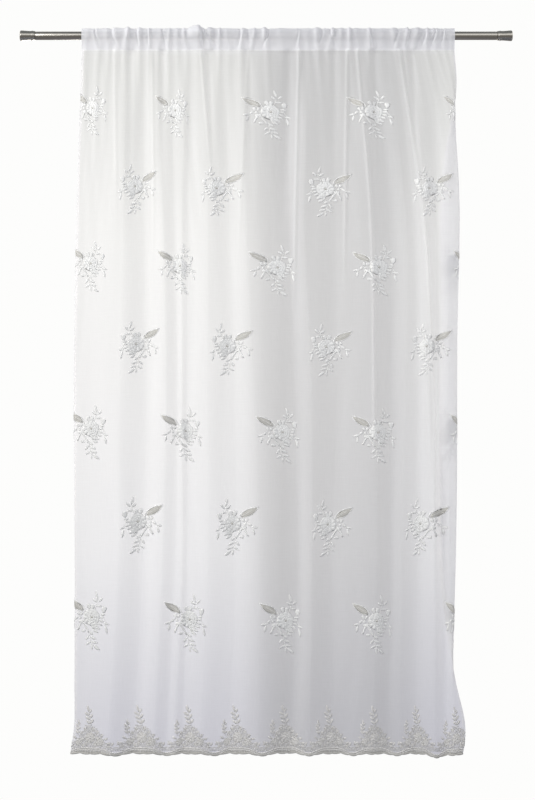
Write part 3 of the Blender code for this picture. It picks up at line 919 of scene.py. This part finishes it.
def turned_points(profile, sides):
    """Points and faces of a turned shape along X, from radius and distance along the axis."""
    angle = np.linspace(0.0, tau, sides, endpoint=False)
    radius = np.array([point[0] for point in profile])[:, None]
    along = np.array([point[1] for point in profile])[:, None]
    along = np.broadcast_to(along, (len(profile), sides))
    points = np.stack([along, radius * np.cos(angle), radius * np.sin(angle)], axis=-1)
    first = (np.arange(len(profile) - 1)[:, None] * sides + np.arange(sides)).ravel()
    beside = (np.arange(len(profile) - 1)[:, None] * sides + (np.arange(sides) + 1) % sides).ravel()
    return points.reshape(-1, 3), np.stack([first, beside, beside + sides, first + sides], axis=1)


ROD_SIDES = 96
ROD_EDGE = 0.0002
# The cap's outline from its mouth to its end: radius and distance from the mouth, for a 28 mm rod
CAP_OUTLINE = (
    (0.0, 0.0120), (0.0143, 0.0120), (0.0143, 0.0006), (0.0145, 0.0001), (0.0152, 0.0000),
    (0.0155, 0.0002), (0.0156, 0.0008), (0.0156, 0.0058), (0.0158, 0.0062), (0.0161, 0.0066),
    (0.0165, 0.0074), (0.0166, 0.0082), (0.0166, 0.0093), (0.0164, 0.0101), (0.0161, 0.0108),
    (0.0158, 0.0118), (0.0157, 0.0132), (0.0157, 0.0170), (0.0158, 0.0205), (0.0161, 0.0255),
    (0.0165, 0.0305), (0.0169, 0.0355), (0.0173, 0.0402), (0.0175, 0.0430), (0.0175, 0.0452),
    (0.0173, 0.0466), (0.0168, 0.0477), (0.0160, 0.0487), (0.0150, 0.0494), (0.0138, 0.0498),
    (0.0125, 0.0500), (0.0, 0.0500),
)


def make_rod(rod):
    """The smooth tube and its two turned caps."""
    metal = nickel_material(rod.colour)
    radius = ROD_DIAMETER / 2
    inner = radius - rod.wall
    start, end = ROD_LOW.x, ROD_HIGH.x
    outline = [
        (inner, start), (inner + ROD_EDGE, start), (radius - ROD_EDGE, start), (radius, start + ROD_EDGE),
        (radius, end - ROD_EDGE), (radius - ROD_EDGE, end), (inner + ROD_EDGE, end), (inner, end),
    ]
    outline.append(outline[0])
    points, faces = turned_points(outline, ROD_SIDES)
    tube = new_piece("rod_tube", points, [faces], metal)
    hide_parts("rod")
    for name, node, mouth, side in (
        ("turned_cap_left", "cap_left", LEFT_END + CAP_LENGTH, -1.0),
        ("turned_cap_right", "cap_right", RIGHT_END - CAP_LENGTH, 1.0),
    ):
        outline = [(size, mouth + side * reach) for size, reach in CAP_OUTLINE]
        points, faces = turned_points(outline, ROD_SIDES)
        cap = new_piece(name, points, [faces if side > 0 else faces[:, ::-1]], metal)
        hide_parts(node)


PHOTO_SIZE = (535, 800)
METRES_PER_PIXEL = 0.0033
ROD_PIXEL = (266.2, 35.7)


def make_camera(stage):
    """A level camera, square on to the cloth, with the photograph's framing."""
    view = bpy.data.cameras.new("camera")
    camera = bpy.data.objects.new("camera", view)
    bpy.context.scene.collection.objects.link(camera)
    x = (PHOTO_SIZE[0] / 2 - ROD_PIXEL[0]) * METRES_PER_PIXEL
    z = (ROD_PIXEL[1] - PHOTO_SIZE[1] / 2) * METRES_PER_PIXEL
    camera.location = (x, -stage.distance, z)
    camera.rotation_euler = (radians(90.0), 0.0, 0.0)
    view.sensor_fit = "VERTICAL"
    view.lens = view.sensor_height * stage.distance / (PHOTO_SIZE[1] * METRES_PER_PIXEL)
    view.clip_end = 100.0
    bpy.context.scene.camera = camera


# power is the setting that gives the lamp's watts. A mirrored lamp shows in shiny things.
Lamp = namedtuple("Lamp", "name power place target size colour mirrored")
LAMPS = (
    Lamp("key lamp", "key", (-6.0, -1.8, 0.4), (0.0, 0.0, -0.9), (2.0, 2.0), "#FFFEFC", False),
    Lamp("gloss lamp", "gloss", (-6.0, -3.0, 1.0), (0.0, 0.0, -0.9), (2.0, 2.0), "#FFFEFC", True),
    Lamp("fill lamp", "fill", (1.5, -4.6, 0.5), (0.2, 0.0, -0.7), (1.4, 1.4), "#F8F9FF", False),
    Lamp("top lamp", "top", (-2.2, -1.7, 1.3), (-0.5, 0.0, -0.1), (1.0, 0.6), "#FFFFFF", False),
    Lamp("back lamp", "back", (-0.5, 1.7, -1.15), (-0.5, 0.0, -1.15), (1.2, 1.8), "#FFFBF3", True),
)


def make_lamps(stage):
    """Soft square lamps that the camera doesn't see."""
    for one in LAMPS:
        lamp = bpy.data.lights.new(one.name, "AREA")
        lamp.shape = "RECTANGLE"
        lamp.size, lamp.size_y = one.size
        lamp.energy = getattr(stage, one.power)
        lamp.color = linear(one.colour)
        holder = bpy.data.objects.new(one.name, lamp)
        bpy.context.scene.collection.objects.link(holder)
        holder.location = one.place
        holder.rotation_euler = (Vector(one.target) - Vector(one.place)).to_track_quat("-Z", "Y").to_euler()
        holder.visible_camera = False
        holder.visible_glossy = one.mirrored


def ramp(tree, factor, stops):
    """A colour ramp through (place, linear colour) stops."""
    made = add(tree, "ValToRGB", {"Fac": factor})
    elements = made.color_ramp.elements
    while len(elements) < len(stops):
        elements.new(1.0)
    for element, (where, colour) in zip(elements, stops):
        element.position = where
        element.color = rgba(colour)
    return made.outputs[0]


# What shiny things mirror, from straight below to straight above
STUDIO_RAMP = (
    (0.00, (0.86, 0.88, 0.98)), (0.13, (0.36, 0.35, 0.35)), (0.32, (0.46, 0.43, 0.39)),
    (0.46, (0.54, 0.52, 0.48)), (0.56, (1.30, 1.28, 1.23)), (0.64, (2.50, 2.48, 2.40)),
    (0.73, (2.50, 2.48, 2.40)), (0.82, (1.10, 1.10, 1.08)), (0.92, (0.38, 0.40, 0.41)),
    (1.00, (0.56, 0.59, 0.59)),
)
# The backdrop seen through the cloth is painted light and shade. Its greys from left to right are bright
# behind the left half and grey behind most of the right.
# Its colours from below to above are bluish and dim low, warmer higher up and brightest at the top.
PAINTED_BEHIND_ACROSS = (
    (0.446, 0.76), (0.460, 0.96), (0.492, 0.89), (0.503, 0.30), (0.520, 0.43), (0.530, 0.36), (0.541, 0.84),
    (0.549, 1.0),
)
PAINTED_BEHIND_DOWN = (
    (0.40, (0.36, 0.36, 0.50)), (0.46, (0.82, 0.82, 0.84)), (0.54, (0.84, 0.84, 0.79)),
    (0.586, (0.56, 0.57, 0.50)), (0.589, (1.08, 1.09, 1.14)),
)
SOFT_LIGHT = (0.35, 0.35, 0.36)


def seen_through(tree):
    """The light path's outputs, and 1 where the eye looks through the cloth."""
    rays = add(tree, "LightPath").outputs
    deep = {0: rays["Transparent Depth"], 1: 0.5}
    return rays, add(tree, "Math", deep, operation="GREATER_THAN").outputs[0]


def add_backdrop(tree, stage):
    """Paper white for the eye, and a dimmer backdrop of painted light and shade where it is seen through the
    cloth.
    """
    way = add(tree, "SeparateXYZ", {0: add(tree, "TexCoord").outputs["Generated"]})
    sides = [add(tree, "MapRange", {0: side, 1: -1.0, 2: 1.0}).outputs[0] for side in way.outputs]
    across, up = sides[0], sides[2]
    greys = ramp(tree, across, [(where, (level, level, level)) for where, level in PAINTED_BEHIND_ACROSS])
    colours = {"Factor": 1.0, 6: greys, 7: ramp(tree, up, PAINTED_BEHIND_DOWN)}
    # behind is painted light and shade, seen only through the cloth
    behind = add(tree, "Mix", colours, data_type="RGBA", blend_type="MULTIPLY").outputs[2]
    rays, through = seen_through(tree)
    shown = add(tree, "Mix", {"Factor": through, 6: rgba(stage.paper), 7: behind}, data_type="RGBA")
    return up, rays, shown.outputs[2]


def make_world(stage):
    """The backdrop for the eye, the studio that shiny things mirror, and a plain soft light for the rest."""
    world = bpy.data.worlds.new("studio")
    world.use_nodes = True
    tree = world.node_tree
    tree.nodes.clear()
    up, rays, shown = add_backdrop(tree, stage)
    studio = {"Color": ramp(tree, up, STUDIO_RAMP), "Strength": stage.around}
    mirrored = add(tree, "Background", studio).outputs[0]
    soft = {"Color": rgba(SOFT_LIGHT), "Strength": stage.around}
    plain = add(tree, "Background", soft).outputs[0]
    around = add(tree, "MixShader", {0: rays["Is Glossy Ray"], 1: plain, 2: mirrored}).outputs[0]
    backdrop = add(tree, "Background", {"Color": shown, "Strength": 1.0}).outputs[0]
    both = add(tree, "MixShader", {0: rays["Is Camera Ray"], 1: around, 2: backdrop}).outputs[0]
    add(tree, "OutputWorld", {"Surface": both})
    bpy.context.scene.world = world


# The floor's paint for the light, and the painted grey shade it shows where it is seen through the cloth
FLOOR_PAINT = "#8E9198"
FLOOR_PAINTED_SHADE = "#B5B7BD"


def make_floor(stage):
    """A pale floor under the hem, as white as the backdrop for the eye, and painted a grey shade where it is
    seen through the cloth.
    """
    reach = stage.floor_reach
    corners = ((-reach, -reach), (reach, -reach), (reach, reach), (-reach, reach))
    mesh = bpy.data.meshes.new("floor")
    mesh.from_pydata([(x, y, stage.floor) for x, y in corners], [], [(0, 1, 2, 3)])
    made, tree = new_material("white paper sweep")
    paint = add(tree, "BsdfDiffuse", {"Color": rgba(linear(FLOOR_PAINT))}).outputs[0]
    rays, through = seen_through(tree)
    # Where it is seen through the cloth the floor shows a painted grey shade
    colours = {"Factor": through, 6: rgba(stage.paper), 7: rgba(linear(FLOOR_PAINTED_SHADE))}
    shown = add(tree, "Mix", colours, data_type="RGBA").outputs[2]
    lit = add(tree, "Emission", {"Color": shown, "Strength": 1.0}).outputs[0]
    mixed = add(tree, "MixShader", {0: rays["Is Camera Ray"], 1: paint, 2: lit}).outputs[0]
    add(tree, "OutputMaterial", {"Surface": mixed})
    mesh.materials.append(made)
    floor = bpy.data.objects.new("floor", mesh)
    bpy.context.scene.collection.objects.link(floor)


def tint(name, description, colour):
    """A colour setting."""
    return FloatVectorProperty(name=name, description=description, default=linear(colour), subtype="COLOR")


def length(name, description, size):
    """A length setting, in metres."""
    return FloatProperty(name=name, description=description, default=size, unit="LENGTH")


def share(name, description, part):
    """A setting from 0 to 1."""
    return FloatProperty(name=name, description=description, default=part, min=0.0, max=1.0)


def power(name, description, watts):
    """A lamp's power setting."""
    return FloatProperty(name=name, description=description, default=watts, unit="POWER")


class CurtainCloth(bpy.types.PropertyGroup):
    """The sheer cloth."""

    columns: IntProperty(name="Columns", description="Points across the flat width", default=560, min=60)
    rows: IntProperty(name="Rows", description="Points down the drop", default=126, min=40)
    pocket_rows: IntProperty(name="Pocket rows", description="Points around the pocket", default=42, min=9)
    side_hem: length("Side hem", "Width of the turned selvedge", 0.010)
    open_share: share("Open share", "Share of holes", 0.42)
    glow_share: share("Glow share", "Share of light let through", 0.36)
    colour: tint("Yarn", "Colour of the yarn", "#F8F8FA")
    # Painted light: the pocket's tint is brighter and bluer than the yarn's colour.
    pocket_painted_light: tint("Doubled", "Colour of the doubled cloth of the pocket", "#FAFBFF")
    glow: tint("Glow", "Light that comes through the yarn", "#F8F7F4")
    holes: tint("Holes", "Tint of what is seen through", "#FCFCFD")


class CurtainEmbroidery(bpy.types.PropertyGroup):
    """The embroidery's threads."""

    colour: tint("Thread", "Colour of the satin thread", "#EDEDEA")
    border_colour: tint("Border thread", "Colour of the border's thread", "#DEDCD8")
    dark_colour: tint("Shaded thread", "Colour of the leaf fillings and the lace", "#C7C5BE")
    glow: share("Glow", "Share of light through the thread", 0.02)


class CurtainRod(bpy.types.PropertyGroup):
    """The rod and its caps."""

    wall: length("Wall", "Thickness of the tube's wall", 0.001)
    colour: tint("Plate", "Colour of the nickel plate", "#B8B5B0")


class CurtainStage(bpy.types.PropertyGroup):
    """Camera, light and floor."""

    distance: length("Distance", "From the rod to the camera", 6.5)
    floor: length("Floor", "Height of the floor below the rod", -2.62)
    floor_reach: length("Reach", "Half the floor's side", 1.3)
    around: FloatProperty(name="Around", description="Brightness of the studio", default=0.60, min=0.0)
    paper: tint("Paper", "Colour of the backdrop", "#FDFDFC")
    key: power("Key", "Power of the low lamp on the left", 155.0)
    gloss: power("Gloss", "Power of the high lamp on the left", 95.0)
    fill: power("Fill", "Power of the front lamp", 138.0)
    top: power("Top", "Power of the lamp above the heading", 34.0)
    back: power("Back", "Power of the lamp behind the cloth", 33.0)


class CURTAIN_OT_stage(bpy.types.Operator):
    """Adds the camera, the lamps, the backdrop and the floor"""

    bl_idname = "curtain.stage"
    bl_label = "Stage"

    def execute(self, context):
        stage = context.scene.curtain_stage
        context.scene.view_settings.view_transform = "Standard"
        make_camera(stage)
        make_world(stage)
        make_floor(stage)
        make_lamps(stage)
        return {"FINISHED"}


class CURTAIN_OT_rod(bpy.types.Operator):
    """Adds the rod and its two caps"""

    bl_idname = "curtain.rod"
    bl_label = "Rod"

    def execute(self, context):
        make_rod(context.scene.curtain_rod)
        return {"FINISHED"}


class CURTAIN_OT_cloth(bpy.types.Operator):
    """Adds the hanging sheet with its pocket and hems"""

    bl_idname = "curtain.cloth"
    bl_label = "Cloth"

    def execute(self, context):
        make_cloth(context.scene.curtain_cloth)
        return {"FINISHED"}


class CURTAIN_OT_embroidery(bpy.types.Operator):
    """Adds the sprays, the border and the pocket's stitching"""

    bl_idname = "curtain.embroidery"
    bl_label = "Embroidery"

    def execute(self, context):
        look = context.scene.curtain_embroidery
        satin = satin_material("rayon satin stitch", look.colour, look.glow)
        dark = satin_material("shaded satin filling", look.dark_colour, look.glow)
        border = satin_material("rayon border stitch", look.border_colour, look.glow)
        sprays, fillings = make_sprays()
        scallops, lace = make_border()
        sewn = [
            sprays.build("flower_sprays", satin),
            fillings.build("leaf_fillings", dark),
            scallops.build("hem_border", border),
            lace.build("hem_lace", dark),
            make_stitching().build("pocket_stitching", satin),
        ]
        return {"FINISHED"}


class CURTAIN_PT_panel(bpy.types.Panel):
    """Lists the curtain's steps"""

    bl_label = "Curtain"
    bl_idname = "CURTAIN_PT_panel"
    bl_space_type = "VIEW_3D"
    bl_region_type = "UI"
    bl_category = "Curtain"

    def draw(self, context):
        for operator in OPERATORS:
            self.layout.operator(operator.bl_idname)


GROUPS = {
    "curtain_cloth": CurtainCloth,
    "curtain_embroidery": CurtainEmbroidery,
    "curtain_rod": CurtainRod,
    "curtain_stage": CurtainStage,
}
OPERATORS = (CURTAIN_OT_stage, CURTAIN_OT_rod, CURTAIN_OT_cloth, CURTAIN_OT_embroidery)


def register():
    for name, group in GROUPS.items():
        bpy.utils.register_class(group)
        setattr(bpy.types.Scene, name, PointerProperty(type=group))
    for kind in (*OPERATORS, CURTAIN_PT_panel):
        bpy.utils.register_class(kind)


def unregister():
    for kind in (CURTAIN_PT_panel, *reversed(OPERATORS)):
        bpy.utils.unregister_class(kind)
    for name, group in GROUPS.items():
        delattr(bpy.types.Scene, name)
        bpy.utils.unregister_class(group)


def main():
    register()
    bpy.ops.curtain.stage()
    bpy.ops.curtain.rod()
    bpy.ops.curtain.cloth()
    bpy.ops.curtain.embroidery()


if __name__ == "__main__":
    main()
